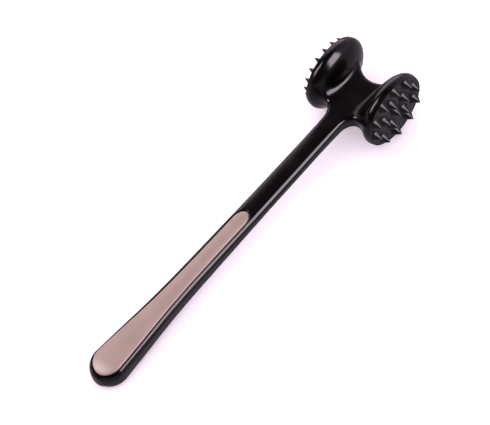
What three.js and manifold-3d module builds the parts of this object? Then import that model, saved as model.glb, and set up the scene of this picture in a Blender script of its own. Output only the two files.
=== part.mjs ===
// Meat mallet with two spiked faces, lying as it would on a table.
// Millimetres, +Z up, +X from the grip to the head, coarse face towards -Y.
// The mallet is built straight, with the head's middle at the origin and the handle along -X,
// then leant until both rims and the end of the grip stand on the table.

import * as THREE from 'three';
import { mergeVertices } from 'three/addons/utils/BufferGeometryUtils.js';
import Module from 'manifold-3d';

const wasm = await Module();
wasm.setup();

// Shared clearances
const fitGap = 0.3;          // between pieces that seat on each other
const overrun = 4;           // how far a cut runs past what it cuts

// Bells: the two round ends of the head
const rimRadius = 24.3;      // out to the crest of the rim
const headReach = 24.85;     // head's middle to the front of a rim
const crestHeight = 1;       // the rim's crest above the bell's back
const crestFront = 2.9;      // from the crest to the front
const crestRear = 1.3;       // from the crest to the bell's back
const domeDepth = 9.8;       // how far the back bulges behind the rim
const domeSlope = 1.2;       // 1 for half an ellipse, more for a back that falls away sooner
const lipWidth = 0.35;       // flat land round the face plate

// Neck: the flat slab between the bells
const neckDepth = 9.4;       // top face to bottom face
const neckEdge = 2.2;        // rounding along its edges
const archRadius = 10.3;     // hollow between the handle and a bell
const archReach = 29.2;      // head's middle to where the hollows start
const farReach = 6.8;        // head's middle to the far side, at its waist
const farRadius = 14;        // hollow of the far side
const farHalfSpan = 11;      // how far out that hollow runs
const neckRoot = 1;          // how far the slab runs on inside a bell

// Handle
const shankReach = 35;       // head's middle to where the handle starts to widen
const gripReach = 235;       // head's middle to the widest place of the grip
const endLength = 13.2;      // from there to the very end
const shankWidth = 12.9;
const shankEdge = 2.6;       // rounding along the shank
const gripWidth = 23.3;
const gripDepth = 16.5;
const gripEdge = 5.5;        // rounding along the grip

// Face plates and their spikes
const plateThickness = 2;
const plateSink = 0.2;       // flat of the plate below the rim's front
const tipRadius = 0.2;       // blunt end of every spike
const coarseRadius = 3.95;   // foot of a coarse spike
const coarseHeight = 5.35;
const coarseInnerRing = 9.9;
const coarseOuterRing = 18.85;
const fineRadius = 2.35;     // foot of a fine spike
const fineHeight = 4.8;
const coarseTurn = -5.6;     // degrees that each plate is turned from the handle's line
const fineTurn = 9.4;
const fineRingStep = 6.83;   // from ring to ring

// Weights and their cushions, in the pockets behind the plates
const pocketRadius = 14.2;
const pocketDepth = 6.4;     // below the seat of the plate
const weightChamfer = 0.8;
const cushionThickness = 1.4;
const cushionInset = 0.8;    // cushion smaller than the weight, all round

// Steel core in the shank
const rodRadius = 2.2;
const rodDrop = 0.9;         // rod's middle below the handle's middle
const rodHeadReach = 12;     // head's middle to the rod's front end
const rodLength = 128;
const lugLength = 6;         // stop behind the rod, under the grip carrier

// Grip inlay
const inlayReach = 104.6;    // head's middle to the inlay's front tip
const inlayBorder = 2.8;     // black border round the inlay
const inlayTip = 7;          // length of the rounded front tip
const padThickness = 1.3;
const padCrown = 0.7;        // middle of the pad above its edges
const carrierFloor = 1.7;    // recess floor above the handle's middle

// Shares of the widening from the shank (0) to the grip's widest place (1)
const widthShares = { places: [0, 0.2, 0.4, 0.6, 0.78, 0.9, 1], values: [0, 0.09, 0.14, 0.2, 0.42, 0.75, 1] };
const depthShares = { places: [0, 0.25, 0.4, 0.6, 0.78, 0.9, 1], values: [0, 0, 0.06, 0.28, 0.52, 0.78, 1] };
const edgeShare = 0.9;       // most of a half side that its rounding takes up

// Counts
const coarseInnerSpikes = 5;
const coarseOuterSpikes = 10;
const fineFirstSpikes = 6;   // in the first ring round the middle, and as many more in each ring
const fineRings = 3;
const roundSteps = 56;       // round a bell
const domeSteps = 9;         // across the bell's back
const rimSteps = 7;
const spikeSides = 14;
const rodSides = 20;
const handleSteps = 22;
const inlaySteps = 16;
const cornerSteps = 4;       // round one edge of the handle
const endSteps = 6;          // round the end of the grip
const crownSteps = 6;        // across the pad
const arcSteps = 10;         // along a hollow of the neck

// Sizes worked out from the ones above
const domeRadius = rimRadius - crestHeight;
const crestReach = headReach - crestFront;
const domeBase = crestReach - crestRear;
const seatRadius = domeRadius + lipWidth / 2;
const plateRadius = seatRadius - fitGap;
const plateFront = headReach - plateSink;
const seatFloor = plateFront - plateThickness - fitGap;
const pocketFloor = seatFloor - pocketDepth;
const weightRadius = pocketRadius - fitGap;
const cushionRadius = weightRadius - cushionInset;
const cushionBack = plateFront - plateThickness - fitGap - cushionThickness;
const weightFront = cushionBack - fitGap;
const weightBack = pocketFloor + fitGap;
const handleReach = gripReach + endLength;
const rodTailReach = rodHeadReach + rodLength;

// Materials
function plastic(color, roughness) {
  return new THREE.MeshStandardMaterial({ color, roughness, metalness: 0 });
}

function glossBlack() {
  return plastic(0x17161a, 0.22);
}

function satinBlack() {
  return plastic(0x2a282c, 0.42);
}

function softTaupe() {
  return plastic(0xb39a94, 0.85);
}

function cushionRubber() {
  return plastic(0x3c3f42, 0.9);
}

function zincedSteel() {
  return new THREE.MeshStandardMaterial({ color: 0x9ea2a6, roughness: 0.35, metalness: 1 });
}

// Closed solids from geometries, and back
function solid(geometry) {
  const bare = geometry.clone();
  bare.deleteAttribute('normal');
  bare.deleteAttribute('uv');
  const merged = mergeVertices(bare);
  const corners = merged.index.array;
  const kept = [];
  for (let i = 0; i < corners.length; i += 3) {
    const [a, b, c] = [corners[i], corners[i + 1], corners[i + 2]];
    if (a !== b && b !== c && c !== a) kept.push(a, b, c);
  }
  const vertProperties = new Float32Array(merged.attributes.position.array);
  const triVerts = new Uint32Array(kept);
  return new wasm.Manifold(new wasm.Mesh({ numProp: 3, vertProperties, triVerts }));
}

function geometryOf(manifold) {
  const mesh = manifold.getMesh();
  const geometry = new THREE.BufferGeometry();
  geometry.setAttribute('position', new THREE.BufferAttribute(new Float32Array(mesh.vertProperties), 3));
  geometry.setIndex(new THREE.BufferAttribute(new Uint32Array(mesh.triVerts), 1));
  geometry.computeVertexNormals();
  return geometry;
}

function piece(name, manifold, material) {
  const mesh = new THREE.Mesh(geometryOf(manifold), material);
  mesh.name = name;
  return mesh;
}

// A lathed solid about the Y axis, from [radius, place along Y] points
function lathed(profile) {
  const points = profile.map(([radius, along]) => new THREE.Vector2(radius, along));
  return solid(new THREE.LatheGeometry(points, roundSteps));
}

// The same solid turned over, for the other end of the head
function turnedOver(manifold) {
  const geometry = geometryOf(manifold);
  geometry.rotateX(Math.PI);
  return solid(geometry);
}

// A closed skin over rings of [y, z] points, each ring anticlockwise seen from +X, places rising along X
function lofted(rings) {
  const size = rings[0].points.length;
  const positions = [];
  const index = [];
  for (const ring of rings) {
    for (const [y, z] of ring.points) positions.push(ring.place, y, z);
  }
  for (let i = 0; i + 1 < rings.length; i += 1) {
    for (let k = 0; k < size; k += 1) {
      const a = i * size + k;
      const b = i * size + (k + 1) % size;
      index.push(a, b, b + size, a, b + size, a + size);
    }
  }
  for (const end of [0, rings.length - 1]) {
    const { place, points } = rings[end];
    const centre = positions.length / 3;
    const middle = [0, 1].map((axis) => points.reduce((sum, point) => sum + point[axis], 0) / size);
    positions.push(place, ...middle);
    for (let k = 0; k < size; k += 1) {
      const here = end * size + k;
      const next = end * size + (k + 1) % size;
      if (end === 0) index.push(centre, next, here);
      else index.push(centre, here, next);
    }
  }
  const geometry = new THREE.BufferGeometry();
  geometry.setAttribute('position', new THREE.Float32BufferAttribute(positions, 3));
  geometry.setIndex(index);
  return solid(geometry);
}

// Widening of the handle at a distance from the head's middle, 0 in the shank and 1 at the widest place
function widening(table, reach) {
  const share = THREE.MathUtils.clamp((reach - shankReach) / (gripReach - shankReach), 0, 1);
  return new THREE.CubicInterpolant(table.places, table.values, 1).evaluate(share)[0];
}

// Rounding of the grip's end: 1 up to the widest place, 0 at a border inside the very end
function endShare(reach, border) {
  const past = Math.max(0, reach - gripReach) / (endLength - border);
  return Math.sqrt(Math.max(0, 1 - past * past));
}

function halfWidth(reach, border) {
  const full = (shankWidth + (gripWidth - shankWidth) * widening(widthShares, reach)) / 2;
  return (full - border) * endShare(reach, border);
}

function halfDepth(reach) {
  const full = (neckDepth + (gripDepth - neckDepth) * widening(depthShares, reach)) / 2;
  return full * Math.sqrt(endShare(reach, 0));
}

// Distances from the head's middle, close together where the end or a tip is round
function reaches(from, to, tipLength, steps) {
  const list = [];
  for (let i = 0; i < cornerSteps && tipLength > 0; i += 1) {
    list.push(from + tipLength * (1 - Math.cos((i + 0.5) / cornerSteps * Math.PI / 2)));
  }
  const start = from + tipLength;
  for (let i = 0; i <= steps; i += 1) list.push(start + (gripReach - start) * i / steps);
  for (let i = 1; i < endSteps; i += 1) {
    list.push(gripReach + (to - gripReach) * Math.sin(i / endSteps * Math.PI / 2));
  }
  return list.reverse();
}

// A rounded rectangle as [y, z] points, anticlockwise from its right side
function roundedSection(halfY, halfZ, edge) {
  const radius = Math.min(edge, halfY * edgeShare, halfZ * edgeShare);
  const points = [];
  const corners = [[1, 1], [-1, 1], [-1, -1], [1, -1]];
  corners.forEach(([right, up], quarter) => {
    for (let i = 0; i <= cornerSteps; i += 1) {
      const angle = (quarter + i / cornerSteps) * Math.PI / 2;
      const y = right * (halfY - radius) + radius * Math.cos(angle);
      const z = up * (halfZ - radius) + radius * Math.sin(angle);
      points.push([y, z]);
    }
  });
  return points;
}

// Body: bells, neck, shank and grip, moulded in one
function bell() {
  const profile = [];
  for (let i = 0; i <= domeSteps; i += 1) {
    const angle = i / domeSteps * Math.PI / 2;
    profile.push([domeRadius * Math.sin(angle) ** domeSlope, domeBase - domeDepth * Math.cos(angle)]);
  }
  const lipTurn = Math.asin(lipWidth / crestHeight);
  for (let i = 1; i <= rimSteps; i += 1) {
    const angle = i / rimSteps * (Math.PI - lipTurn);
    const pastCrest = -Math.cos(angle);
    const along = crestReach + pastCrest * (pastCrest < 0 ? crestRear : crestFront / Math.cos(lipTurn));
    profile.push([domeRadius + crestHeight * Math.sin(angle), along]);
  }
  profile.push([0, headReach]);
  return lathed(profile);
}

function bellPocket() {
  return lathed([
    [0, pocketFloor],
    [pocketRadius, pocketFloor],
    [pocketRadius, seatFloor],
    [seatRadius, seatFloor],
    [seatRadius, headReach + overrun],
    [0, headReach + overrun],
  ]);
}

function arc(x, y, radius, from, to) {
  return new THREE.ArcCurve(x, y, radius, from, to, to < from).getPoints(arcSteps);
}

function neckOutline() {
  const side = shankWidth / 2;
  const root = side + archRadius + neckRoot;
  const archEnd = archReach - archRadius;
  const farEdge = farReach + farRadius - Math.sqrt(farRadius ** 2 - farHalfSpan ** 2);
  const farAngle = Math.asin(farHalfSpan / farRadius);
  return new THREE.Shape([
    new THREE.Vector2(-shankReach, -side),
    ...arc(-archReach, -side - archRadius, archRadius, Math.PI / 2, 0),
    new THREE.Vector2(-archEnd, -root),
    new THREE.Vector2(farEdge, -root),
    ...arc(farReach + farRadius, 0, farRadius, Math.PI + farAngle, Math.PI - farAngle),
    new THREE.Vector2(farEdge, root),
    new THREE.Vector2(-archEnd, root),
    ...arc(-archReach, side + archRadius, archRadius, 0, -Math.PI / 2),
    new THREE.Vector2(-shankReach, side),
  ]);
}

function neck() {
  const geometry = new THREE.ExtrudeGeometry(neckOutline(), {
    depth: neckDepth - 2 * neckEdge,
    bevelEnabled: true,
    bevelThickness: neckEdge,
    bevelSize: neckEdge,
    bevelOffset: -neckEdge,
    bevelSegments: cornerSteps,
  });
  geometry.translate(0, 0, neckEdge - neckDepth / 2);
  return solid(geometry);
}

function handle() {
  const rings = reaches(archReach, handleReach, 0, handleSteps).map((reach) => {
    const growth = widening(widthShares, reach);
    const edge = shankEdge + (gripEdge - shankEdge) * growth;
    return { place: -reach, points: roundedSection(halfWidth(reach, 0), halfDepth(reach), edge) };
  });
  return lofted(rings);
}

// Upright prism with the inlay's outline, from a floor to past the top of the grip
function inlayRecess() {
  const border = inlayBorder - fitGap;
  const top = gripDepth / 2 + padCrown + overrun;
  const rings = reaches(inlayReach - fitGap, handleReach - border, inlayTip, inlaySteps).map((reach) => {
    const side = inlayHalfWidth(reach, border, inlayReach - fitGap);
    return { place: -reach, points: [[side, carrierFloor], [side, top], [-side, top], [-side, carrierFloor]] };
  });
  return lofted(rings);
}

function inlayHalfWidth(reach, border, start) {
  const short = Math.max(0, 1 - (reach - start) / inlayTip);
  return halfWidth(reach, border) * Math.sqrt(Math.max(0, 1 - short * short));
}

// Bore in the shank that runs on as an open channel under the grip carrier
function rodBore() {
  const radius = rodRadius + fitGap;
  const channelEnd = inlayReach + rodLength;
  const front = rodHeadReach - fitGap;
  const bore = new THREE.CylinderGeometry(radius, radius, channelEnd - front, rodSides);
  bore.rotateZ(Math.PI / 2);
  bore.translate(-(channelEnd + front) / 2, 0, -rodDrop);
  const height = carrierFloor + rodDrop + fitGap;
  const channel = new THREE.BoxGeometry(channelEnd - inlayReach - inlayTip, 2 * radius, height);
  channel.translate(-(channelEnd + inlayReach + inlayTip) / 2, 0, height / 2 - rodDrop);
  return solid(bore).add(solid(channel));
}

function body() {
  const outer = bell();
  const pocket = bellPocket();
  return outer
    .add(turnedOver(outer))
    .add(neck())
    .add(handle())
    .subtract(pocket)
    .subtract(turnedOver(pocket))
    .subtract(inlayRecess())
    .subtract(rodBore());
}

// Face plates: a disc with its spikes, moulded in one
function spike(radius, height) {
  const geometry = new THREE.CylinderGeometry(tipRadius, radius, height, spikeSides);
  geometry.translate(0, height / 2, 0);
  return geometry;
}

function facePlate(rings, radius, height, turn) {
  const back = plateFront - plateThickness;
  let plate = lathed([[0, back], [plateRadius, back], [plateRadius, plateFront], [0, plateFront]]);
  for (const ring of rings) {
    for (let i = 0; i < ring.count; i += 1) {
      const angle = THREE.MathUtils.degToRad(turn + ring.turn + i * 360 / ring.count);
      const root = spike(radius, height);
      const x = -ring.radius * Math.cos(angle);
      const z = ring.radius * Math.sin(angle);
      root.translate(x, plateFront, z);
      plate = plate.add(solid(root));
    }
  }
  return plate;
}

function coarseFace() {
  const rings = [
    { count: 1, radius: 0, turn: 0 },
    { count: coarseInnerSpikes, radius: coarseInnerRing, turn: 0 },
    { count: coarseOuterSpikes, radius: coarseOuterRing, turn: 180 / coarseOuterSpikes },
  ];
  return turnedOver(facePlate(rings, coarseRadius, coarseHeight, coarseTurn));
}

function fineFace() {
  const rings = [{ count: 1, radius: 0, turn: 0 }];
  for (let i = 1; i <= fineRings; i += 1) {
    rings.push({ count: fineFirstSpikes * i, radius: fineRingStep * i, turn: 0 });
  }
  return facePlate(rings, fineRadius, fineHeight, fineTurn);
}

// Steel weight with chamfered edges, and the cushion that stops it rattling
function weight() {
  return lathed([
    [0, weightBack],
    [weightRadius - weightChamfer, weightBack],
    [weightRadius, weightBack + weightChamfer],
    [weightRadius, weightFront - weightChamfer],
    [weightRadius - weightChamfer, weightFront],
    [0, weightFront],
  ]);
}

function cushion() {
  const front = cushionBack + cushionThickness;
  return lathed([[0, cushionBack], [cushionRadius, cushionBack], [cushionRadius, front], [0, front]]);
}

function coreRod() {
  const geometry = new THREE.CylinderGeometry(rodRadius, rodRadius, rodLength, rodSides);
  geometry.rotateZ(Math.PI / 2);
  geometry.translate(-(rodHeadReach + rodTailReach) / 2, 0, -rodDrop);
  return solid(geometry);
}

// Height of the surface between carrier and pad
function padSeat(reach) {
  return halfDepth(reach) - padThickness;
}

// Hard carrier that fills the recess, with a lug that stops the rod
function gripCarrier() {
  const bottom = carrierFloor + fitGap;
  const rings = reaches(inlayReach, handleReach - inlayBorder, inlayTip, inlaySteps).map((reach) => {
    const side = inlayHalfWidth(reach, inlayBorder, inlayReach);
    const top = Math.max(padSeat(reach) - fitGap, bottom + fitGap);
    return { place: -reach, points: [[side, bottom], [side, top], [-side, top], [-side, bottom]] };
  });
  const lugHeight = rodDrop + bottom;
  const lug = new THREE.BoxGeometry(lugLength, 2 * rodRadius, lugHeight + fitGap);
  lug.translate(-(rodTailReach + fitGap + lugLength / 2), 0, (lugHeight + fitGap) / 2 - rodDrop);
  return lofted(rings).add(solid(lug));
}

// Soft pad with a crowned top
function gripPad() {
  const rings = reaches(inlayReach, handleReach - inlayBorder, inlayTip, inlaySteps).map((reach) => {
    const side = inlayHalfWidth(reach, inlayBorder, inlayReach);
    const low = padSeat(reach);
    const points = [];
    for (let i = 0; i <= crownSteps; i += 1) {
      const across = 1 - 2 * i / crownSteps;
      points.push([side * across, low + padThickness + padCrown * (1 - across ** 2)]);
    }
    points.push([-side, low], [side, low]);
    return { place: -reach, points };
  });
  return lofted(rings);
}

// Lean that puts the rims and the grip on one table
function lean() {
  const buttDepth = gripDepth / 2;
  return Math.asin(rimRadius / Math.hypot(gripReach, buttDepth)) - Math.atan2(buttDepth, gripReach);
}

const mallet = new THREE.Group();
mallet.add(piece('body', body(), glossBlack()));
mallet.add(piece('coarse_face', coarseFace(), satinBlack()));
mallet.add(piece('fine_face', fineFace(), satinBlack()));
mallet.add(piece('coarse_weight', turnedOver(weight()), zincedSteel()));
mallet.add(piece('fine_weight', weight(), zincedSteel()));
mallet.add(piece('coarse_cushion', turnedOver(cushion()), cushionRubber()));
mallet.add(piece('fine_cushion', cushion(), cushionRubber()));
mallet.add(piece('core_rod', coreRod(), zincedSteel()));
mallet.add(piece('grip_carrier', gripCarrier(), satinBlack()));
mallet.add(piece('grip_pad', gripPad(), softTaupe()));
mallet.rotation.y = -lean();

// The middle of the footprint, on the table, becomes the origin
const bounds = new THREE.Box3().setFromObject(mallet, true);
const middle = bounds.getCenter(new THREE.Vector3());
mallet.position.set(-middle.x, -middle.y, -bounds.min.z);

const part = new THREE.Group();
part.add(mallet);

export default part;
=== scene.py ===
# Meat mallet on a pale table: its looks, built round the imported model.
# Pieces are modelled in the mallet's own frame, in millimetres: the head's middle at the origin, the handle
# along -X and the coarse face towards -Y. laidDown then lays them on the table, where the model lies.

import math

import bmesh
import bpy
import numpy as np
from mathutils import Matrix, Vector


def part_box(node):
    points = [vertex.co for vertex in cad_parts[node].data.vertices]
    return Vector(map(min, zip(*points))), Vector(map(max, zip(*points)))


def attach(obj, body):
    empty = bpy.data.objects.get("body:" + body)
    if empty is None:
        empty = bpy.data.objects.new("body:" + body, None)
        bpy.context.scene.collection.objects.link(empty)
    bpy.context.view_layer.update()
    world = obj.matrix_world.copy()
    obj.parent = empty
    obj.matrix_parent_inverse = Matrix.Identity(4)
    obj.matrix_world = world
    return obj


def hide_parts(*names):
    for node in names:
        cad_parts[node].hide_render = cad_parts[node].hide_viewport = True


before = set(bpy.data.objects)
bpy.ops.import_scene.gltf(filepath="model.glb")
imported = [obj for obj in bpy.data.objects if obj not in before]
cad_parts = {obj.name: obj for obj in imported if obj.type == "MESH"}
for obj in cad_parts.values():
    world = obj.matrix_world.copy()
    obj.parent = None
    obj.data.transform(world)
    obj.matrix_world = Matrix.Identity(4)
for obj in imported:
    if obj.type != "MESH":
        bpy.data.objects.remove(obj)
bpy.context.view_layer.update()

fitGap = 0.3             # between pieces that seat on each other, mm
samePlace = 1e-4         # verts of a spun shape that are this close are one
millimetre = 0.001


# The handle, from its straight shank to the grip's round end
handle = {
    "shankReach": 35.0,      # head's middle to where it starts to widen
    "gripReach": 235.0,      # head's middle to the widest place
    "endLength": 13.2,
    "shankWidth": 12.9,
    "shankEdge": 2.6,
    "gripWidth": 23.3,
    "gripDepth": 16.5,
    "gripEdge": 5.5,
    "fullestEdge": 0.9,      # most of a half width or depth that an edge rounds
    "widening": [(0, 0), (0.2, 0.09), (0.4, 0.14), (0.6, 0.2), (0.78, 0.42), (0.9, 0.75), (1, 1)],
    "deepening": [(0, 0), (0.25, 0), (0.4, 0.06), (0.6, 0.28), (0.78, 0.52), (0.9, 0.78), (1, 1)],
    "crown": [(29, 0), (50, 0.75), (95, 0.8), (125, 0.2)],     # of the broad faces, at each reach
    "crownLimit": 1.5,
    "crownHalf": 1.0,        # least half width that the crown is worked out from
    "edgeHalf": 0.01,        # and the edge rounding
    "ringStep": 1.2,
    "endRings": 26,
}

# The two bells of the head
bell = {
    "rimRadius": 24.3,
    "reach": 24.85,          # head's middle to the front of the rim
    "frontRadius": 23.65,
    "seatRadius": 23.475,
    "rimLength": 2.9,        # from the widest place to the front
    "depth": 11.1,           # how far the back bulges behind it
    "slope": 1.2,
    "turn": 1.5,             # how late the rim narrows towards its front
    "backRings": 5,
    "rimRings": 12,
    "crowding": 1.5,         # of the rim's rings towards its widest place
    "lipRings": [0.03, 0.15],     # behind the front
    "seatDepth": 2.3,        # face plate's seat behind the plate's flat
    "pocketRadius": 14.2,
    "pocketDepth": 6.4,
    "leastAcross": 1e-6,     # these two keep its field finite on its axis
    "leastShare": 1e-9,
}
bell["base"] = bell["reach"] - bell["rimLength"]

# The flat neck between them
neck = {
    "depth": 9.4,
    "edge": 2.2,
    "edgeFade": 8.0,         # along the handle, until the shank's edge is reached
    "archRadius": 10.3,
    "archReach": 29.2,
    "farReach": 6.8,
    "farRadius": 14.0,
    "farHalfSpan": 11.0,
    "root": 1.0,
    "fillet": [(-24, 3.6), (-18.5, 8.5), (-13, 7.5), (-6, 5), (1, 4), (9, 3.2)],     # at each place along X
    "farBlend": 3.0,
    "voxel": 0.5,
    "bellCut": 20.2,         # where the blended middle ends and the bells' rims begin
    "shankCut": 44.0,        # where it ends and the handle begins
    "cutPlay": 0.1,          # how far from a cut its verts may be
}


def splineThrough(table):
    places, values = (np.array(row, float) for row in zip(*table))
    steps = np.diff(places)
    slopes = np.diff(values) / steps
    count = len(places)
    system = np.eye(count)
    right = np.zeros(count)
    for i in range(1, count - 1):
        system[i, i - 1:i + 2] = steps[i - 1], 2 * (steps[i - 1] + steps[i]), steps[i]
        right[i] = 6 * (slopes[i] - slopes[i - 1])
    bend = np.linalg.solve(system, right)

    def valueAt(share):
        i = np.clip(np.searchsorted(places, share) - 1, 0, count - 2)
        t = share - places[i]
        cubic = (bend[i + 1] - bend[i]) / (6 * steps[i])
        linear = slopes[i] - steps[i] * (2 * bend[i] + bend[i + 1]) / 6
        return values[i] + t * (linear + t * (bend[i] / 2 + t * cubic))

    return valueAt


wideningAt = splineThrough(handle["widening"])
deepeningAt = splineThrough(handle["deepening"])


def shareAlong(reach):
    return np.clip((reach - handle["shankReach"]) / (handle["gripReach"] - handle["shankReach"]), 0, 1)


# 1 up to the widest place, 0 at a border inside the very end
def endShare(reach, border=0):
    past = np.maximum(reach - handle["gripReach"], 0) / (handle["endLength"] - border)
    return np.sqrt(np.maximum(1 - past * past, 0))


def halfWidth(reach, border=0):
    wider = (handle["gripWidth"] - handle["shankWidth"]) * wideningAt(shareAlong(reach))
    return ((handle["shankWidth"] + wider) / 2 - border) * endShare(reach, border)


def halfDepth(reach):
    deeper = (handle["gripDepth"] - neck["depth"]) * deepeningAt(shareAlong(reach))
    return (neck["depth"] + deeper) / 2 * np.sqrt(endShare(reach))


def edgeRadius(reach):
    inNeck = np.clip((reach - neck["archReach"]) / neck["edgeFade"], 0, 1)
    shank = neck["edge"] + (handle["shankEdge"] - neck["edge"]) * inNeck
    return shank + (handle["gripEdge"] - handle["shankEdge"]) * wideningAt(shareAlong(reach))


def smoothLeast(a, b, size):
    near = np.maximum(size - np.abs(a - b), 0) / size
    return np.minimum(a, b) - near * near * size / 4


def smoothMost(a, b, size):
    return -smoothLeast(-a, -b, size)


# Signed distances, negative inside, of rows of [x, y, z]
def bellField(p):
    behind = np.maximum(bell["base"] - np.abs(p[:, 1]), 0)
    across = np.maximum(np.hypot(p[:, 0], p[:, 2]), bell["leastAcross"])
    power = 2 / bell["slope"]
    share = (across / bell["rimRadius"]) ** power + (behind / bell["depth"]) ** 2
    outward = power / bell["rimRadius"] * (across / bell["rimRadius"]) ** (power - 1)
    root = np.sqrt(np.maximum(share, bell["leastShare"]))
    return (root - 1) * 2 * root / np.hypot(outward, 2 * behind / bell["depth"] ** 2)


def outlineField(x, y):
    y = np.abs(y)
    reach = -x
    side = handle["shankWidth"] / 2
    archMiddle = side + neck["archRadius"]
    arch = neck["archRadius"] - np.hypot(reach - neck["archReach"], y - archMiddle)
    beyond = reach - (neck["archReach"] - neck["archRadius"])
    arch = np.where(y > archMiddle, beyond, arch)
    arch = np.where(reach > neck["archReach"], y - halfWidth(reach), arch)
    farMiddle = neck["farReach"] + neck["farRadius"]
    farEdge = farMiddle - math.sqrt(neck["farRadius"] ** 2 - neck["farHalfSpan"] ** 2)
    hollow = neck["farRadius"] - np.hypot(x - farMiddle, y)
    far = smoothMost(hollow, x - farEdge, neck["farBlend"])
    return np.maximum(np.maximum(arch, far), y - archMiddle - neck["root"])


def flatField(p):
    reach = -p[:, 0]
    half = halfDepth(reach)
    thinner = np.minimum(half, np.maximum(halfWidth(reach), handle["edgeHalf"]))
    edge = np.minimum(edgeRadius(reach), handle["fullestEdge"] * thinner)
    out = outlineField(p[:, 0], p[:, 1]) + edge
    across = p[:, 1] / np.maximum(halfWidth(reach), handle["crownHalf"])
    crown = np.interp(reach, *zip(*handle["crown"])) * np.minimum(across * across, handle["crownLimit"])
    half = half - crown
    up = np.abs(p[:, 2]) - half + edge
    return np.minimum(np.maximum(out, up), 0) + np.hypot(np.maximum(out, 0), np.maximum(up, 0)) - edge


def bodyField(p):
    return smoothLeast(bellField(p), flatField(p), np.interp(p[:, 0], *zip(*neck["fillet"])))


settling = {"step": 0.01, "leastSlope": 1e-4, "longestMove": 0.8}


# Moves points onto the surface where a field is zero, along the axes that are free
def settled(points, field, free=(1, 1, 1), rounds=6):
    step = settling["step"]
    longest = settling["longestMove"]
    shifts = np.eye(3) * step
    p = points.copy()
    for _ in range(rounds):
        value = field(p)
        slope = np.stack([(field(p + s) - field(p - s)) / (2 * step) for s in shifts], axis=1) * free
        size = np.maximum((slope ** 2).sum(axis=1), settling["leastSlope"])
        p -= (np.clip(value, -longest, longest) / size)[:, None] * slope
    return p


def placesOf(verts):
    return np.array([v.co for v in verts])


def place(verts, points):
    for vert, point in zip(verts, points):
        vert.co = point


# From the mallet's frame to the model's
def laidDown():
    low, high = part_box("body")
    faceLow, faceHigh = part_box("coarse_face")
    middle = Vector(((faceLow.x + faceHigh.x) / 2, (low.y + high.y) / 2, (faceLow.z + faceHigh.z) / 2))
    butt = handle["gripDepth"] / 2
    slant = math.hypot(handle["gripReach"], butt)
    lean = math.asin(bell["rimRadius"] / slant) - math.atan2(butt, handle["gripReach"])
    return Matrix.Translation(middle) @ Matrix.Rotation(-lean, 4, "Y") @ Matrix.Scale(millimetre, 4)


toModel = laidDown()


def objectFrom(bm, name):
    mesh = bpy.data.meshes.new(name)
    bm.to_mesh(mesh)
    bm.free()
    made = bpy.data.objects.new(name, mesh)
    bpy.context.scene.collection.objects.link(made)
    return made


# Bakes an object's modifiers into its mesh
def settleModifiers(made):
    graph = bpy.context.evaluated_depsgraph_get()
    mesh = bpy.data.meshes.new_from_object(made.evaluated_get(graph))
    old = made.data
    made.modifiers.clear()
    made.data = mesh
    bpy.data.meshes.remove(old)


def cutFrom(made, cutter):
    modifier = made.modifiers.new("cut", "BOOLEAN")
    modifier.object = cutter
    modifier.operation = "DIFFERENCE"
    modifier.solver = "EXACT"
    settleModifiers(made)
    bpy.data.objects.remove(cutter)


# Smooths an object, lays it down, gives it its material, hangs it on the root body and hides the CAD nodes
# that it stands for
def finished(made, material, stands, sharpAngle=32):
    bm = bmesh.new()
    bm.from_mesh(made.data)
    limit = math.radians(sharpAngle)
    for face in bm.faces:
        face.smooth = True
    for edge in bm.edges:
        edge.smooth = len(edge.link_faces) == 2 and edge.calc_face_angle(0) < limit
    bmesh.ops.transform(bm, matrix=toModel, verts=bm.verts)
    bm.to_mesh(made.data)
    bm.free()
    made.data.materials.clear()
    made.data.materials.append(material)
    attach(made, "root")
    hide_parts(*stands)
    print(made.name, len(made.data.polygons), "faces")
    return made


# A profile of [radius, place along Y] spun about Y
def spun(profile, steps):
    bm = bmesh.new()
    verts = [bm.verts.new((radius, along, 0)) for radius, along in profile]
    edges = [bm.edges.new(pair) for pair in zip(verts, verts[1:])]
    bmesh.ops.spin(bm, geom=verts + edges, cent=(0, 0, 0), axis=(0, 1, 0), angle=2 * math.pi, steps=steps,
                   use_merge=True)
    bmesh.ops.remove_doubles(bm, verts=bm.verts, dist=samePlace)
    bmesh.ops.recalc_face_normals(bm, faces=bm.faces)
    return bm


# Rough shapes of the head's middle, good enough to be remeshed and settled onto the blended surface
rough = {
    "bellSteps": 12,
    "turnSteps": 64,
    "archSteps": 9,
    "hollowSteps": 6,
    "pastCut": 4.0,
    "bellMargin": 0.5,       # what is settled past each cut
    "shankMargin": 1.0,
    "passes": 4,
    "smoothing": 0.5,
    "planeJoin": 0.02,       # verts this close to a cut count as on it
    "rimJoin": 0.2,          # and verts of its rim this close to each other as one
}


def roughBell(side):
    profile = []
    for i in range(rough["bellSteps"] + 1):
        angle = i / rough["bellSteps"] * math.pi / 2
        radius = bell["rimRadius"] * math.sin(angle) ** bell["slope"]
        profile.append((radius, bell["base"] - bell["depth"] * math.cos(angle)))
    profile += [(bell["rimRadius"], bell["reach"]), (0, bell["reach"])]
    bm = spun(profile, rough["turnSteps"])
    if side < 0:
        bmesh.ops.scale(bm, vec=(1, -1, 1), verts=bm.verts)
        bmesh.ops.recalc_face_normals(bm, faces=bm.faces)
    return bm


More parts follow.
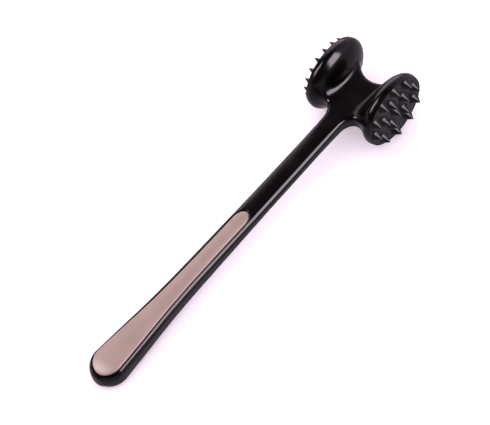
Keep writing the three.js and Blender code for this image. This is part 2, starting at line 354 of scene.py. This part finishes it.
def roughNeck():
    side = handle["shankWidth"] / 2
    archMiddle = side + neck["archRadius"]
    farMiddle = neck["farReach"] + neck["farRadius"]
    reach = math.sqrt(neck["farRadius"] ** 2 - neck["farHalfSpan"] ** 2)
    outline = [(-neck["shankCut"] - rough["pastCut"], side)]
    for i in range(rough["archSteps"] + 1):
        angle = (1 - i / rough["archSteps"]) * math.pi / 2
        outline.append((-neck["archReach"] + neck["archRadius"] * math.cos(angle),
                        archMiddle - neck["archRadius"] * math.sin(angle)))
    outline.append((farMiddle - reach, archMiddle))
    for i in range(rough["hollowSteps"] + 1):
        y = neck["farHalfSpan"] * (1 - i / rough["hollowSteps"])
        outline.append((farMiddle - math.sqrt(neck["farRadius"] ** 2 - y * y), y))
    outline += [(x, -y) for x, y in reversed(outline[:-1])]
    bm = bmesh.new()
    ring = [bm.verts.new((x, y, -neck["depth"] / 2)) for x, y in outline]
    face = bm.faces.new(ring)
    raised = bmesh.ops.extrude_face_region(bm, geom=[face])["geom"]
    top = [v for v in raised if isinstance(v, bmesh.types.BMVert)]
    bmesh.ops.translate(bm, vec=(0, 0, neck["depth"]), verts=top)
    bmesh.ops.recalc_face_normals(bm, faces=bm.faces)
    return bm


def joined(parts):
    bm = bmesh.new()
    for part in parts:
        mesh = bpy.data.meshes.new("part")
        part.to_mesh(mesh)
        part.free()
        bm.from_mesh(mesh)
        bpy.data.meshes.remove(mesh)
    return bm


# The head's middle with its blends: remeshed evenly, then relaxed on the blended surface
def blendedMiddle():
    blank = objectFrom(joined([roughBell(1), roughBell(-1), roughNeck()]), "blank")
    modifier = blank.modifiers.new("even", "REMESH")
    modifier.mode = "VOXEL"
    modifier.voxel_size = neck["voxel"]
    settleModifiers(blank)
    bm = bmesh.new()
    bm.from_mesh(blank.data)
    bpy.data.objects.remove(blank)
    widest = neck["bellCut"] + rough["bellMargin"]
    farthest = neck["shankCut"] + rough["shankMargin"]
    near = [v for v in bm.verts if abs(v.co.y) < widest and v.co.x > -farthest]
    for _ in range(rough["passes"]):
        place(near, settled(placesOf(near), bodyField, rounds=3))
        bmesh.ops.smooth_vert(bm, verts=near, factor=rough["smoothing"], use_axis_x=True, use_axis_y=True,
                              use_axis_z=True)
    place(near, settled(placesOf(near), bodyField))
    for middle, normal in (((0, neck["bellCut"], 0), (0, 1, 0)), ((0, -neck["bellCut"], 0), (0, -1, 0)),
                           ((-neck["shankCut"], 0, 0), (-1, 0, 0))):
        bmesh.ops.bisect_plane(bm, geom=bm.verts[:] + bm.edges[:] + bm.faces[:], dist=rough["planeJoin"],
                               plane_co=middle, plane_no=normal, clear_outer=True)
    rims = [v for v in bm.verts if v.is_boundary]
    bmesh.ops.remove_doubles(bm, verts=rims, dist=rough["rimJoin"])
    return bm


def boundaryEdges(bm, inside):
    return [e for e in bm.edges if e.is_boundary and all(inside(v.co) for v in e.verts)]


# Extrudes the open loop that it is given and moves the new verts, ring after ring
def extruded(bm, edges, moved):
    made = bmesh.ops.extrude_edge_only(bm, edges=edges)["geom"]
    verts = [g for g in made if isinstance(g, bmesh.types.BMVert)]
    place(verts, moved(placesOf(verts)))
    return [g for g in made if isinstance(g, bmesh.types.BMEdge) and g.is_boundary]


# Profile of a bell from the blended middle's cut: back, rim, lip, plate seat and weight pocket
def rimProfile():
    rows = []
    for i in range(1, bell["backRings"] + 1):
        along = neck["bellCut"] + (bell["base"] - neck["bellCut"]) * i / bell["backRings"]
        behind = bell["base"] - along
        radius = bell["rimRadius"] * (1 - (behind / bell["depth"]) ** 2) ** (bell["slope"] / 2)
        rows.append((radius, along))
    for i in range(1, bell["rimRings"] + 1):
        share = (i / bell["rimRings"]) ** bell["crowding"]
        narrower = (bell["rimRadius"] - bell["frontRadius"]) * share ** bell["turn"]
        rows.append((bell["rimRadius"] - narrower, bell["base"] + bell["rimLength"] * share))
    floor = bell["reach"] - bell["seatDepth"] - plate["sink"]
    pocketFloor = floor - bell["pocketDepth"]
    rows += [(bell["seatRadius"], bell["reach"] - behind) for behind in bell["lipRings"]]
    rows += [(bell["seatRadius"], floor), (bell["pocketRadius"], floor)]
    rows += [(bell["pocketRadius"], pocketFloor), (bell["pocketRadius"] / 2, pocketFloor)]
    return rows, pocketFloor


def addRim(bm, side):
    rows, pocketFloor = rimProfile()
    edges = boundaryEdges(bm, lambda co: side * co.y > neck["bellCut"] - neck["cutPlay"])
    for radius, along in rows:

        def onRing(points):
            angle = np.arctan2(points[:, 2], points[:, 0])
            y = np.full(len(angle), side * along)
            return np.stack([radius * np.cos(angle), y, radius * np.sin(angle)], axis=1)

        edges = extruded(bm, edges, onRing)
    pole = bmesh.ops.extrude_edge_only(bm, edges=edges)["geom"]
    verts = [g for g in pole if isinstance(g, bmesh.types.BMVert)]
    bmesh.ops.pointmerge(bm, verts=verts, merge_co=(0, side * pocketFloor, 0))


def addHandle(bm):
    edges = boundaryEdges(bm, lambda co: co.x < -neck["shankCut"] + neck["cutPlay"])
    length = handle["gripReach"] - neck["shankCut"]
    count = round(length / handle["ringStep"])
    reaches = [neck["shankCut"] + length * i / count for i in range(1, count + 1)]
    for i in range(1, handle["endRings"]):
        turn = i / handle["endRings"] * math.pi / 2
        reaches.append(handle["gripReach"] + handle["endLength"] * math.sin(turn))
    before = neck["shankCut"]
    for reach in reaches:
        wider = halfWidth(reach) / halfWidth(before)
        deeper = halfDepth(reach) / halfDepth(before)

        def onSection(points):
            scaled = points * (1, wider, deeper)
            scaled[:, 0] = -reach
            return settled(scaled, flatField, free=(0, 1, 1), rounds=4)

        edges = extruded(bm, edges, onSection)
        before = reach
    tip = bmesh.ops.extrude_edge_only(bm, edges=edges)["geom"]
    verts = [g for g in tip if isinstance(g, bmesh.types.BMVert)]
    bmesh.ops.pointmerge(bm, verts=verts, merge_co=(-handle["gripReach"] - handle["endLength"], 0, 0))


# The grip's inlay: a soft pad on a hard carrier, in a recess of the body
inlay = {
    "reach": 108.2,          # head's middle to its front tip
    "carrierReach": 104.6,   # head's middle to the carrier's tip, which reaches under the body
    "carrierRoom": 8.0,      # width of the room for that tip
    "carrierPlay": 0.1,
    "border": 2.1,
    "groove": 0.6,           # round the pad, besides the fit gap
    "tip": 7.0,
    "thickness": 1.3,
    "crown": 1.1,
    "floor": 1.7,            # recess floor above the handle's middle
    "sideSteps": 70,
    "tipSteps": 14,
    "edgeRound": 0.4,
    "edgeKnee": 0.3,         # share of the rounding, from the sharp corner to its middle row
    "endMargin": 0.5,
    "overrun": 3.0,
    "padRim": 0.07,          # share of the pad's half width that its rim rounds
    "padRimDrop": 6.0,       # depth of that rounding, for a share of 1
    "padRimAngles": [22, 45, 67, 90],
    "padRows": 13,
    "spineJoin": 1e-3,       # verts of its spine this close to each other are one
    "sharpAngle": 60,
}


def inlayReaches(start, end):
    steps = inlay["tipSteps"]
    tip = [start + inlay["tip"] * (1 - math.cos(i / steps * math.pi / 2)) for i in range(steps)]
    straight = np.linspace(start + inlay["tip"], handle["gripReach"], inlay["sideSteps"])
    ending = [handle["gripReach"] + (end - handle["gripReach"]) * math.sin(i / steps * math.pi / 2)
              for i in range(1, steps + 1)]
    return np.array([*tip, *straight, *ending])


def inlayHalfWidth(reach, border, start):
    short = np.clip(1 - (reach - start) / inlay["tip"], 0, 1)
    return halfWidth(reach, border) * np.sqrt(1 - short * short)


# The inlay's outline as [reach, half width with its sign], all the way round
def inlayOutline(border, start):
    end = handle["gripReach"] + handle["endLength"] - border
    reaches = inlayReaches(start, end)
    half = inlayHalfWidth(reaches, border, start)
    half[[0, -1]] = 0
    right = np.stack([reaches, half], axis=1)
    left = np.stack([reaches, -half], axis=1)[-2:0:-1]
    return np.concatenate([right, left])


def loopFrom(bm, points):
    order = bm.verts.layers.int.get("order") or bm.verts.layers.int.new("order")
    verts = []
    for i, point in enumerate(points):
        verts.append(bm.verts.new(point))
        verts[-1][order] = i
    return [bm.edges.new(pair) for pair in zip(verts, verts[1:] + verts[:1])]


# Extrudes a loop through rows of points, and returns its first and last edges
def lofted(bm, rows):
    first = loopFrom(bm, rows[0])
    order = bm.verts.layers.int["order"]
    edges = first
    for row in rows[1:]:
        made = bmesh.ops.extrude_edge_only(bm, edges=edges)["geom"]
        for vert in made:
            if isinstance(vert, bmesh.types.BMVert):
                vert.co = row[vert[order]]
        edges = [g for g in made if isinstance(g, bmesh.types.BMEdge) and g.is_boundary]
    return first, edges


def capped(bm, edges):
    bmesh.ops.triangle_fill(bm, edges=edges, use_beauty=True)


# Cutter of the recess, flared at the surface so that the border gets a small rounding
def recessCutter():
    outline = inlayOutline(inlay["border"] - fitGap, inlay["reach"] - fitGap)
    ahead = np.roll(outline, -1, axis=0) - np.roll(outline, 1, axis=0)
    outward = np.stack([ahead[:, 1], -ahead[:, 0]], axis=1)
    outward /= np.linalg.norm(outward, axis=1)[:, None]
    if (outward[:, 1] * outline[:, 1]).sum() < 0:
        outward = -outward
    last = handle["gripReach"] + handle["endLength"] - inlay["endMargin"]
    surface = halfDepth(np.minimum(outline[:, 0], last))
    size = inlay["edgeRound"]
    knee = size * inlay["edgeKnee"]
    over = inlay["overrun"]
    floor = np.full(len(outline), inlay["floor"])
    levels = [(0, floor), (0, surface - size), (knee, surface - knee), ((size + over) * 2, surface + over)]
    rows = []
    for spread, height in levels:
        flat = outline + outward * spread
        rows.append(np.stack([-flat[:, 0], flat[:, 1], height], axis=1))
    bm = bmesh.new()
    first, last = lofted(bm, rows)
    capped(bm, last)
    capped(bm, first)
    bmesh.ops.recalc_face_normals(bm, faces=bm.faces)
    return objectFrom(bm, "recess")


# A block from its reaches along the handle, its width and its bottom and top
def blockFrom(name, reaches, width, heights):
    start, end = reaches
    bottom, top = heights
    middle = Matrix.Translation((-(start + end) / 2, 0, (bottom + top) / 2))
    bm = bmesh.new()
    bmesh.ops.create_cube(bm, size=1, matrix=middle @ Matrix.Diagonal((end - start, width, top - bottom, 1)))
    return objectFrom(bm, name)


# Room under the body for the carrier's tip, ahead of the pad
def tipRoomCutter():
    start = inlay["carrierReach"] - fitGap
    end = inlay["reach"] + inlay["tip"] / 2
    bottom = inlay["floor"] + inlay["carrierPlay"]
    top = float(halfDepth(np.array([start]))[0]) - inlay["thickness"] + inlay["carrierPlay"]
    return blockFrom("tip_room", (start, end), inlay["carrierRoom"], (bottom, top))


# The steel core in the shank, and the bore and channel that it slides into
core = {
    "radius": 2.2,
    "drop": 0.9,             # below the handle's middle
    "headReach": 12.0,
    "length": 128.0,         # of the bore and channel past the carrier's tip
    "channelInset": 0.02,    # channel's sides inside the bore's
    "sides": 32,
}


def boreCutter():
    radius = core["radius"] + fitGap
    start = core["headReach"] - fitGap
    end = inlay["carrierReach"] + core["length"]
    lying = Matrix.Translation((-(start + end) / 2, 0, -core["drop"])) @ Matrix.Rotation(math.pi / 2, 4, "Y")
    bm = bmesh.new()
    bmesh.ops.create_cone(bm, cap_ends=True, segments=core["sides"], radius1=radius, radius2=radius,
                          depth=end - start, matrix=lying)
    return objectFrom(bm, "bore")


def channelCutter():
    start = inlay["carrierReach"] + inlay["tip"]
    end = inlay["carrierReach"] + core["length"]
    width = 2 * (core["radius"] + fitGap) - core["channelInset"]
    return blockFrom("channel", (start, end), width, (-core["drop"], inlay["floor"] + fitGap))


def buildBody():
    bm = blendedMiddle()
    addRim(bm, 1)
    addRim(bm, -1)
    addHandle(bm)
    bmesh.ops.recalc_face_normals(bm, faces=bm.faces)
    made = objectFrom(bm, "moulded_body")
    for cutter in (recessCutter, tipRoomCutter, boreCutter, channelCutter):
        cutFrom(made, cutter())
    finished(made, glossBlack(), ["body"])


# Pad top as loops that shrink towards its spine, from the rim inwards
def padRows():
    start = inlay["reach"]
    outline = inlayOutline(inlay["border"] + inlay["groove"], start + inlay["groove"])
    reaches, half = outline[:, 0], outline[:, 1]
    middle = np.clip(reaches, start + inlay["tip"], handle["gripReach"])
    last = handle["gripReach"] + handle["endLength"] - inlay["border"]
    size = inlay["padRim"]
    shares = [(1, None), (1, size)]
    for angle in np.radians(inlay["padRimAngles"]):
        shares.append((1 - size * (1 - math.cos(angle)), size * (1 - math.sin(angle))))
    shares += [(share, 0) for share in np.linspace(1 - size, 0, inlay["padRows"] + 1)[1:]]
    rows = []
    for share, sunk in shares:
        x = middle + (reaches - middle) * share
        low = halfDepth(np.minimum(x, last)) - inlay["thickness"]
        top = low + inlay["thickness"] + inlay["crown"] * (1 - share * share)
        height = low if sunk is None else top - sunk * inlay["padRimDrop"]
        rows.append(np.stack([-x, half * share, height], axis=1))
    return rows


def buildPad():
    bm = bmesh.new()
    first, last = lofted(bm, padRows())
    capped(bm, first)
    spine = list({v for e in last for v in e.verts})
    bmesh.ops.remove_doubles(bm, verts=spine, dist=inlay["spineJoin"])
    bmesh.ops.recalc_face_normals(bm, faces=bm.faces)
    pad = objectFrom(bm, "soft_pad")
    made = finished(pad, softTaupe(), ["grip_pad"], sharpAngle=inlay["sharpAngle"])


# Face plates with their cones, moulded in one
plate = {
    "thickness": 2.0,
    "sink": 0.2,             # its flat behind the rim's front
    "edge": 0.15,
    "edgeKnee": 0.3,         # share of the rounding, from the sharp corner to its middle row
    "rimSteps": 160,
    "coneClearance": 0.01,   # between an outer cone's foot and the edge
    "land": 0.06,
    "footRound": 0.25,
    "footSteps": 4,
    "sideShares": (0.34, 0.67, 1),
    "tipRadius": 0.16,
    "tipSteps": 3,
    "sharpAngle": 28,
    "coarse": {"radius": 3.95, "height": 5.35, "turn": -5.6, "sides": 40,
               "rings": [(1, 0.0, 0.0), (5, 9.9, 0.0), (10, 18.85, 18.0)]},
    "fine": {"radius": 2.35, "height": 4.8, "turn": 9.4, "sides": 28,
             "rings": [(1, 0.0, 0.0), (6, 6.83, 0.0), (12, 13.66, 0.0), (18, 20.49, 0.0)]},
}


# A cone from its foot's circle: a flat land, a small rounding, the straight side and a blunt tip
def coneRows(spec):
    foot = spec["radius"] - plate["land"]
    tip = plate["tipRadius"]
    slopeAngle = math.atan2(spec["height"], spec["radius"] - tip)
    rows = [(foot, 0)]
    for i in range(1, plate["footSteps"] + 1):
        angle = slopeAngle * i / plate["footSteps"]
        rows.append((foot - plate["footRound"] * math.sin(angle), plate["footRound"] * (1 - math.cos(angle))))
    startRadius, startHeight = rows[-1]
    topRadius = tip * math.sin(slopeAngle)
    topHeight = spec["height"] - tip * (1 - math.cos(slopeAngle))
    for share in plate["sideShares"]:
        radius = startRadius + (topRadius - startRadius) * share
        rows.append((radius, startHeight + (topHeight - startHeight) * share))
    for i in range(1, plate["tipSteps"]):
        angle = slopeAngle * (1 - i / plate["tipSteps"])
        rows.append((tip * math.sin(angle), spec["height"] - tip * (1 - math.cos(angle))))
    return rows


def buildPlate(name, spec, side, material, node):
    front = bell["reach"] - plate["sink"]
    back = front - plate["thickness"]
    radius = bell["seatRadius"] - fitGap
    edge = plate["edge"]
    knee = edge * plate["edgeKnee"]
    bm = bmesh.new()

    def circle(x, z, size, steps, y):
        turns = np.arange(steps) / steps * 2 * math.pi
        level = np.full(steps, side * y)
        return np.stack([x + size * np.cos(turns), level, z + size * np.sin(turns)], axis=1)

    profile = [(radius, back), (radius, front - edge), (radius - knee, front - knee), (radius - edge, front)]
    first, outer = lofted(bm, [circle(0, 0, size, plate["rimSteps"], y) for size, y in profile])
    cones = []
    for count, ring, turn in spec["rings"]:
        for i in range(count):
            angle = math.radians(spec["turn"] + turn + i * 360 / count)
            x = -ring * math.cos(angle)
            z = side * ring * math.sin(angle)
            size = min(spec["radius"], radius - edge - ring - plate["coneClearance"])
            cones.append((x, z, loopFrom(bm, circle(x, z, size, spec["sides"], front))))
    field = outer + [e for _, _, edges in cones for e in edges]
    bmesh.ops.triangle_fill(bm, edges=field, use_beauty=True, normal=(0, side, 0))
    for x, z, edges in cones:
        loop = edges
        for size, height in coneRows(spec):
            made = bmesh.ops.extrude_edge_only(bm, edges=loop)["geom"]
            for vert in made:
                if isinstance(vert, bmesh.types.BMVert):
                    away = Vector((vert.co.x - x, 0, vert.co.z - z)).normalized() * size
                    vert.co = (x + away.x, side * (front + height), z + away.z)
            loop = [g for g in made if isinstance(g, bmesh.types.BMEdge) and g.is_boundary]
        made = bmesh.ops.extrude_edge_only(bm, edges=loop)["geom"]
        verts = [g for g in made if isinstance(g, bmesh.types.BMVert)]
        bmesh.ops.pointmerge(bm, verts=verts, merge_co=(x, side * (front + spec["height"]), z))
    capped(bm, first)
    bmesh.ops.recalc_face_normals(bm, faces=bm.faces)
    finished(objectFrom(bm, name), material, [node], sharpAngle=plate["sharpAngle"])


# Rubber cushions between the weights and the plates
cushion = {"thickness": 1.4, "inset": 0.8, "round": 0.35, "roundSteps": 4, "steps": 72}


def buildCushion(name, side, material, node):
    back = bell["reach"] - plate["sink"] - plate["thickness"] - fitGap - cushion["thickness"]
    radius = bell["pocketRadius"] - fitGap - cushion["inset"]
    size = cushion["round"]
    profile = [(0, back)]
    for i in range(cushion["roundSteps"] + 1):
        angle = i / cushion["roundSteps"] * math.pi / 2
        profile.append((radius - size + size * math.sin(angle), back + size - size * math.cos(angle)))
    profile += [(r, 2 * back + cushion["thickness"] - y) for r, y in reversed(profile)]
    bm = spun(profile, cushion["steps"])
    bmesh.ops.scale(bm, vec=(1, side, 1), verts=bm.verts)
    bmesh.ops.recalc_face_normals(bm, faces=bm.faces)
    made = finished(objectFrom(bm, name), material, [node])


# Shader maths as expressions: a Wire is a socket whose operators add Math nodes
class Wire:
    def __init__(self, nodes, socket):
        self.nodes = nodes
        self.socket = socket

    def joined(self, operation, first, second):
        return self.nodes.node("ShaderNodeMath", {"operation": operation}, {0: first, 1: second})

    def __add__(self, other):
        return self.joined("ADD", self, other)

    def __radd__(self, other):
        return self.joined("ADD", other, self)

    def __mul__(self, other):
        return self.joined("MULTIPLY", self, other)

    def __rmul__(self, other):
        return self.joined("MULTIPLY", other, self)


class Nodes:
    def __init__(self, tree):
        self.tree = tree

    def node(self, kind, settings=None, sockets=None, out=0):
        made = self.tree.nodes.new(kind)
        for key, value in (settings or {}).items():
            setattr(made, key, value)
        for key, value in (sockets or {}).items():
            self.fill(made.inputs[key], value)
        return Wire(self, made.outputs[out])

    def fill(self, socket, value):
        if isinstance(value, Wire):
            self.tree.links.new(value.socket, socket)
        else:
            socket.default_value = value

    # 0 below low, 1 above high
    def between(self, value, low, high):
        return self.node("ShaderNodeMapRange", {"interpolation_type": "SMOOTHSTEP"},
                         {"Value": value, "From Min": low, "From Max": high})

    # Sockets 6 and 7 are a Mix node's two colours, and output 2 is its colour
    def mixed(self, share, first, second):
        colours = {"Factor": share, 6: first, 7: second}
        return self.node("ShaderNodeMix", {"data_type": "RGBA"}, colours, out=2)


class Finish(Nodes):
    def __init__(self, name):
        self.material = bpy.data.materials.new(name)
        self.material.use_nodes = True
        super().__init__(self.material.node_tree)
        self.shader = self.tree.nodes["Principled BSDF"]
        self.points = self.node("ShaderNodeTexCoord", out="Object")

    def noise(self, size, detail):
        return self.node("ShaderNodeTexNoise", {}, {"Vector": self.points, "Scale": 1 / (size * millimetre),
                                                    "Detail": detail})

    def bump(self, height, depth, strength):
        return self.node("ShaderNodeBump", {}, {"Height": height, "Distance": depth * millimetre,
                                                "Strength": strength})

    def set(self, sockets):
        for key, value in sockets.items():
            self.fill(self.shader.inputs[key], value)
        return self.material

    # Colours that follow the tone, dents that follow the grain, and a roughness that follows both
    def surfaced(self, tone, grain, spec):
        return self.set({
            "Base Color": self.mixed(tone, rgb(*spec["dark"]), rgb(*spec["light"])),
            "Roughness": spec["roughness"] + spec["toneRoughness"] * tone + spec["grainRoughness"] * grain,
            "Normal": self.bump(grain, *spec["dents"]),
        })


def rgb(*channels):
    return (*channels, 1)


# Broad patches of two colours under a fine grain
def mottled(name, spec):
    look = Finish(name)
    grain = look.noise(*spec["grain"])
    patch = look.between(look.noise(*spec["patches"]), *spec["patchRange"])
    look.set({"Specular IOR Level": spec["specular"]})
    return look.surfaced(patch, grain, spec)


# In each finish, a noise is its size in mm and its detail, and dents are their depth in mm and strength
glossNylon = {
    "dark": (0.0013, 0.0011, 0.0012), "light": (0.002, 0.0017, 0.0019),
    "patches": (14, 3), "patchRange": (0.4, 0.7), "grain": (1.3, 2), "dents": (0.02, 0.3),
    "roughness": 0.17, "toneRoughness": 0.05, "grainRoughness": 0.02, "specular": 0.2,
}


def glossBlack():
    return mottled("gloss_black_nylon", glossNylon)


satinNylon = {
    "dark": (0.0035, 0.0031, 0.0034), "light": (0.0055, 0.0049, 0.0053),
    "patches": (9, 2), "patchRange": (0.35, 0.7), "grain": (0.35, 3), "dents": (0.03, 0.4),
    "roughness": 0.29, "toneRoughness": 0, "grainRoughness": 0.04, "specular": 0.2,
}


def satinBlack():
    return mottled("satin_black_nylon", satinNylon)


taupeElastomer = {
    "dark": (0.278, 0.208, 0.163), "light": (0.302, 0.226, 0.177),
    "patches": (16, 3), "patchRange": (0.3, 0.7), "grain": (0.3, 3), "dents": (0.04, 0.4),
    "roughness": 0.42, "toneRoughness": 0, "grainRoughness": 0.08, "specular": 0.5,
}


def softTaupe():
    return mottled("soft_taupe_elastomer", taupeElastomer)


foamRubber = {
    "dark": (0.03, 0.03, 0.032), "light": (0.06, 0.06, 0.062), "cellSize": 0.5, "dents": (0.06, 0.6),
    "roughness": 0.85, "toneRoughness": 0.1, "grainRoughness": 0,
}


def cushionRubber():
    look = Finish("closed_cell_rubber")
    size = foamRubber["cellSize"] * millimetre
    cells = look.node("ShaderNodeTexVoronoi", {}, {"Vector": look.points, "Scale": 1 / size})
    return look.surfaced(cells, cells, foamRubber)


zinc = {
    "dark": (0.5, 0.52, 0.55), "light": (0.62, 0.63, 0.64),
    "spangle": (2.2, 4), "grain": (0.4, 2), "dents": (0.01, 0.4),
    "roughness": 0.28, "toneRoughness": 0.14, "grainRoughness": 0,
}


def zincedSteel():
    look = Finish("zinced_steel")
    look.set({"Metallic": 1.0})
    return look.surfaced(look.noise(*zinc["spangle"]), look.noise(*zinc["grain"]), zinc)


carrierNylon = {
    "dark": (0.024, 0.024, 0.025), "light": (0.034, 0.034, 0.035), "grain": (0.6, 2), "dents": (0.03, 0.4),
    "roughness": 0.5, "toneRoughness": 0, "grainRoughness": 0.1,
}


def carrierBlack():
    look = Finish("carrier_black_nylon")
    grain = look.noise(*carrierNylon["grain"])
    return look.surfaced(grain, grain, carrierNylon)


def recoat(node, material):
    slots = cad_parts[node].data.materials
    slots.clear()
    slots.append(material)
    print(node, "recoated")


# Camera: a long lens at the photograph's angle
camera = {
    "azimuth": -43.85,
    "elevation": 55.757,
    "roll": -7.136,
    "distance": 3.0,
    "pixelsPerMillimetre": 1.672,
    "originPixel": (246.7, 235.57),
    "imageSize": (490, 425),
    "sensorWidth": 36,
    "clipStart": 0.05,
}


def addCamera():
    azimuth, elevation, roll = (math.radians(camera[key]) for key in ("azimuth", "elevation", "roll"))
    back = Vector((math.sin(azimuth) * math.cos(elevation), -math.cos(azimuth) * math.cos(elevation),
                   math.sin(elevation)))
    level = Vector((math.cos(azimuth), math.sin(azimuth), 0))
    upright = back.cross(level)
    right = level * math.cos(roll) + upright * math.sin(roll)
    up = upright * math.cos(roll) - level * math.sin(roll)
    perPixel = millimetre / camera["pixelsPerMillimetre"]
    width, height = camera["imageSize"]
    aside = (camera["originPixel"][0] - width / 2) * perPixel
    below = (camera["originPixel"][1] - height / 2) * perPixel
    made = bpy.data.objects.new("camera", bpy.data.cameras.new("camera"))
    bpy.context.scene.collection.objects.link(made)
    turn = Matrix((right, up, back)).transposed().to_4x4()
    made.matrix_world = Matrix.Translation(back * camera["distance"] - right * aside + up * below) @ turn
    made.data.sensor_width = camera["sensorWidth"]
    made.data.lens = (camera["sensorWidth"] * camera["pixelsPerMillimetre"] / millimetre
                      * camera["distance"] / width)
    made.data.clip_start = camera["clipStart"]
    bpy.context.scene.camera = made
    print("camera placed")


# A pale floor with a faint glow of its own, and three softboxes, each hidden from diffuse or from mirrored
# rays. The sky is even to diffuse rays, and dark but for soft glows to mirrored ones.
# An azimuth counts from +X, an elevation from the floor, both as seen from the mallet. Sizes are in metres.
studio = {
    "floorSize": 6.0,
    "floorColour": (0.92, 0.92, 0.92),
    "floorMirrored": (0.3, 0.3, 0.3),
    "floorRoughness": 0.6,
    "floorGlow": 0.2,
    "tint": (1.16, 1.0, 1.14),
    "skyDark": 0.03,
    "skyLight": 0.75,
    "backdrop": (1, 1, 1),
    "glows": [{"azimuth": 0, "elevation": 0, "from": 80, "to": 40, "radiance": 0.9},
              {"azimuth": 60, "elevation": 15, "from": 41, "to": 26, "radiance": 3.0}],
    "lightDistance": 1.3,
    "lights": {
        "right_box": {"azimuth": -72, "elevation": 34, "width": 0.75, "height": 1.05, "radiance": 17,
                      "hiddenFrom": "diffuse"},
        "left_box": {"azimuth": 140, "elevation": 42, "width": 0.5, "height": 1.0, "radiance": 16,
                     "hiddenFrom": "diffuse"},
        "top_box": {"azimuth": -150, "elevation": 60, "width": 2.4, "height": 2.4, "radiance": 0.85,
                    "hiddenFrom": "glossy"},
    },
}


def tinted(strength):
    return [strength * channel for channel in studio["tint"]]


def directionOf(azimuth, elevation):
    azimuth, elevation = math.radians(azimuth), math.radians(elevation)
    return Vector((math.cos(azimuth) * math.cos(elevation), math.sin(azimuth) * math.cos(elevation),
                   math.sin(elevation)))


def softbox(name, spec):
    towards = directionOf(spec["azimuth"], spec["elevation"])
    light = bpy.data.lights.new(name, "AREA")
    light.shape = "RECTANGLE"
    light.size = spec["width"]
    light.size_y = spec["height"]
    light.color = tinted(1)
    light.energy = spec["radiance"] * math.pi * spec["width"] * spec["height"]
    made = bpy.data.objects.new(name, light)
    bpy.context.scene.collection.objects.link(made)
    made.location = towards * studio["lightDistance"]
    made.rotation_mode = "QUATERNION"
    made.rotation_quaternion = towards.to_track_quat("Z", "Y")
    made.visible_diffuse = spec["hiddenFrom"] != "diffuse"
    made.visible_glossy = spec["hiddenFrom"] != "glossy"


# Each glow rises from one angle around its middle to another. The camera sees a plain pale backdrop.
def sky():
    world = bpy.data.worlds.new("sky")
    world.use_nodes = True
    look = Nodes(world.node_tree)
    view = look.node("ShaderNodeTexCoord", out="Generated")
    lit = rgb(*tinted(studio["skyDark"]))
    for glow in studio["glows"]:
        middle = directionOf(glow["azimuth"], glow["elevation"])
        near = look.node("ShaderNodeVectorMath", {"operation": "DOT_PRODUCT"}, {0: view, 1: middle},
                         out="Value")
        outer, inner = (math.cos(math.radians(glow[key])) for key in ("from", "to"))
        lit = look.mixed(look.between(near, outer, inner), lit, rgb(*tinted(glow["radiance"])))
    diffused = look.node("ShaderNodeLightPath", out="Is Diffuse Ray")
    lit = look.mixed(diffused, lit, rgb(*tinted(studio["skyLight"])))
    seen = look.node("ShaderNodeLightPath", out="Is Camera Ray")
    look.fill(look.tree.nodes["Background"].inputs["Color"], look.mixed(seen, lit, rgb(*studio["backdrop"])))
    return world


def addStudio():
    bm = bmesh.new()
    bmesh.ops.create_grid(bm, x_segments=1, y_segments=1, size=studio["floorSize"] / 2)
    floor = objectFrom(bm, "floor")
    look = Finish("pale_floor")
    mirrored = look.node("ShaderNodeLightPath", out="Is Glossy Ray")
    look.set({
        "Base Color": look.mixed(mirrored, rgb(*studio["floorColour"]), rgb(*studio["floorMirrored"])),
        "Roughness": studio["floorRoughness"],
        "Specular IOR Level": 0.0,
        "Emission Color": rgb(*studio["tint"]),
        "Emission Strength": studio["floorGlow"],
    })
    floor.data.materials.append(look.material)
    bpy.context.scene.world = sky()
    for name, spec in studio["lights"].items():
        softbox(name, spec)
    bpy.context.scene.view_settings.view_transform = "Standard"
    print("floor, sky and", len(studio["lights"]), "softboxes placed")


addCamera()
buildBody()
buildPad()
satin = satinBlack()
buildPlate("coarse_plate", plate["coarse"], -1, satin, "coarse_face")
buildPlate("fine_plate", plate["fine"], 1, satin, "fine_face")
rubber = cushionRubber()
buildCushion("coarse_buffer", -1, rubber, "coarse_cushion")
buildCushion("fine_buffer", 1, rubber, "fine_cushion")
steel = zincedSteel()
for node in ("coarse_weight", "fine_weight", "core_rod"):
    recoat(node, steel)
recoat("grip_carrier", carrierBlack())
addStudio()
